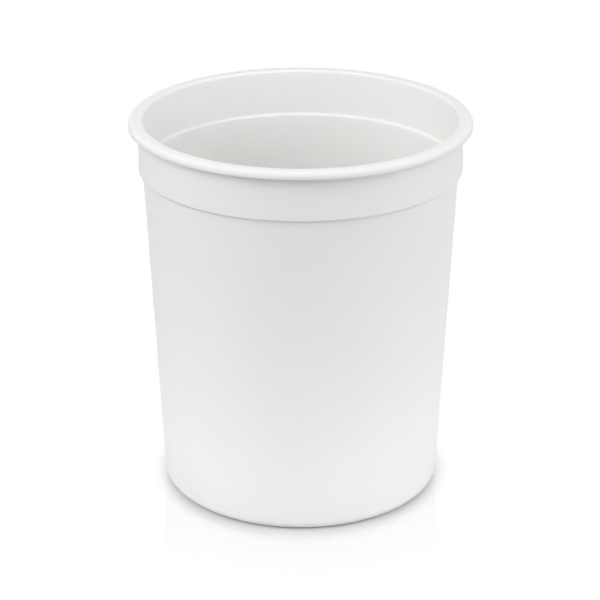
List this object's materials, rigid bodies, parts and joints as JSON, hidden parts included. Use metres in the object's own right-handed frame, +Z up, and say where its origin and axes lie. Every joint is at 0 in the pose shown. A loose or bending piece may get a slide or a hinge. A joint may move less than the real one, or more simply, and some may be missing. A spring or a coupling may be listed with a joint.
{
  "type": "open head drum",
  "caption": "Tapered round plastic drum with an open mouth, a turned-down rim, a plain collar and a nesting shoulder.",
  "frame": {"origin": "centre of the plane that the drum stands on", "axes": "+Z up along the drum's own axis, from the floor to the mouth; +X and +Y are alike, because the drum is round"},
  "size_m": [0.3999, 0.4, 0.4555],
  "materials": {
    "white_plastic": "smooth satin moulding, opaque white"
  },
  "bodies": {
    "root": {"drum_shell": "white_plastic"}
  },
  "joints": []
}
